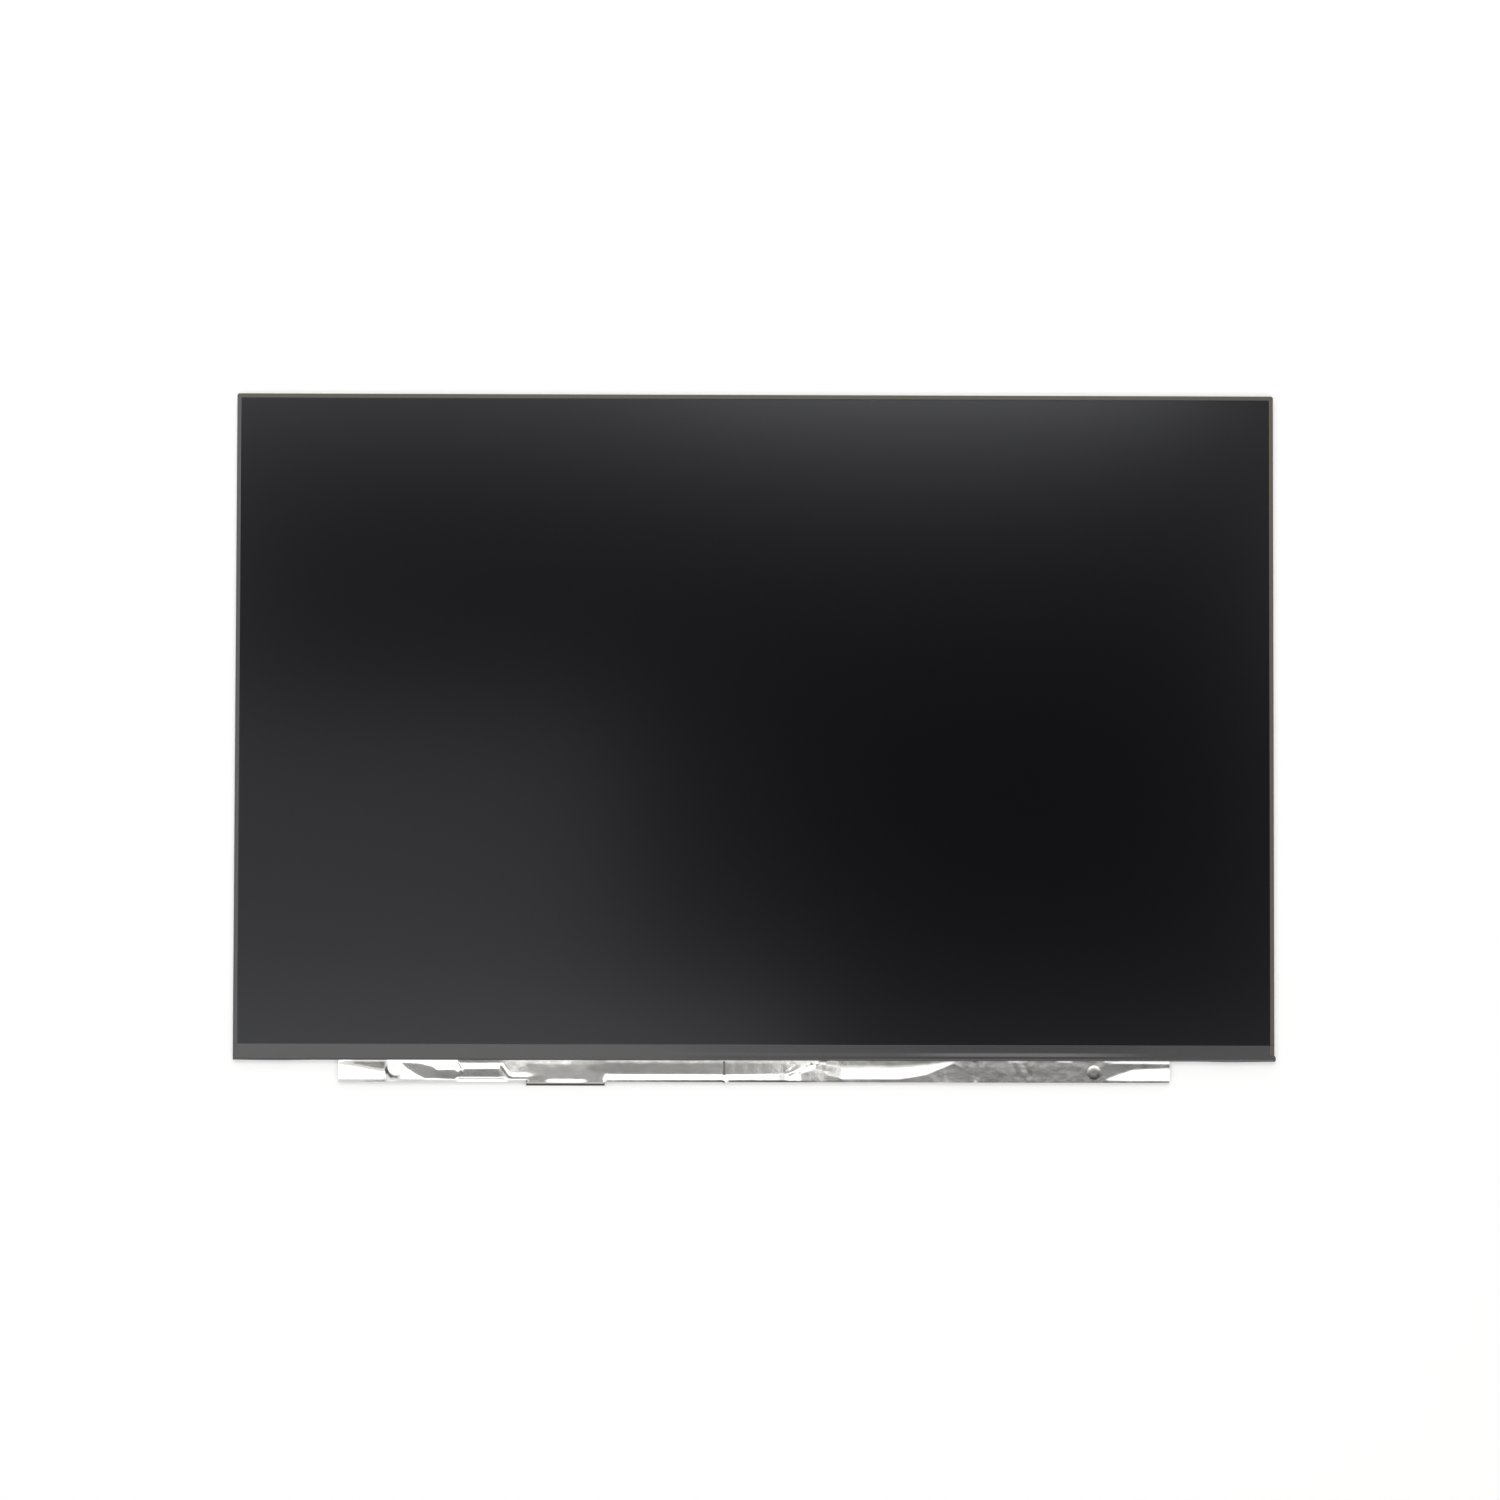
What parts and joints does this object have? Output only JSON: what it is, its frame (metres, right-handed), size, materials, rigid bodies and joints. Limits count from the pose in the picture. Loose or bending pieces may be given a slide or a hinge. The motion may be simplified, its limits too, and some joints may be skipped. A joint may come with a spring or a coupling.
{
  "type": "laptop screen panel",
  "caption": "Thin flat display panel for a laptop: matt screen in a folded metal tray, with a foil-covered control board and signal connector along its lower edge.",
  "frame": {"origin": "middle of the rear cover's flat rear face", "axes": "+X to the right along the screen's width, +Y up the screen, +Z out of the screen's front"},
  "size_m": [0.35, 0.2331, 0.0023],
  "materials": {
    "matt_polariser": "anti-glare coated film",
    "cell_glass": "thin display glass",
    "clear_polariser": "smooth film",
    "black_tape": "double-sided foam tape",
    "edge_tape": "matt warm grey adhesive tape",
    "ledge_tape": "matt grey-black adhesive tape",
    "optical_film": "micro-structured polyester film",
    "acrylic": "moulded clear acrylic",
    "white_film": "white polyester film",
    "black_polycarbonate": "moulded",
    "aluminium_sheet": "rolled and folded sheet",
    "led_plastic": "moulded white plastic with phosphor",
    "polyimide_flex": "laminated flexible circuit",
    "silicon": "sawn and polished die",
    "green_board": "solder-masked laminate",
    "chip_epoxy": "moulded epoxy",
    "ferrite": "pressed ferrite",
    "capacitor_ceramic": "fired ceramic with tinned ends",
    "resistor_ceramic": "glass-coated ceramic with tinned ends",
    "gold_plate": "gold-plated strip",
    "ivory_polymer": "moulded liquid crystal polymer",
    "dark_steel": "oxidised strip",
    "aluminium_foil": "creased foil"
  },
  "bodies": {
    "root": {"front_polariser": "matt_polariser", "colour_filter_glass": "cell_glass", "tft_glass": "cell_glass", "rear_polariser": "clear_polariser", "rim_tape": "black_tape", "upper_prism_film": "optical_film", "lower_prism_film": "optical_film", "diffuser_film": "optical_film", "light_guide": "acrylic", "reflector_sheet": "white_film", "mould_frame": "black_polycarbonate", "rear_cover": "aluminium_sheet", "edge_tape_top": "edge_tape", "edge_tape_right": "edge_tape", "edge_tape_left": "edge_tape", "ledge_tape": "ledge_tape", "light_emitters": "led_plastic", "light_bar_flex": "polyimide_flex", "driver_chips": "silicon", "ledge_flexes": "polyimide_flex", "control_board": "green_board", "timing_controller": "chip_epoxy", "memory_chip": "chip_epoxy", "power_chip": "chip_epoxy", "light_driver_chip": "chip_epoxy", "power_inductors": "ferrite", "ceramic_capacitors": "capacitor_ceramic", "chip_resistors": "resistor_ceramic", "connector_contacts": "gold_plate", "connector_housing": "ivory_polymer", "connector_shell": "dark_steel", "foil_shield": "aluminium_foil"}
  },
  "joints": []
}
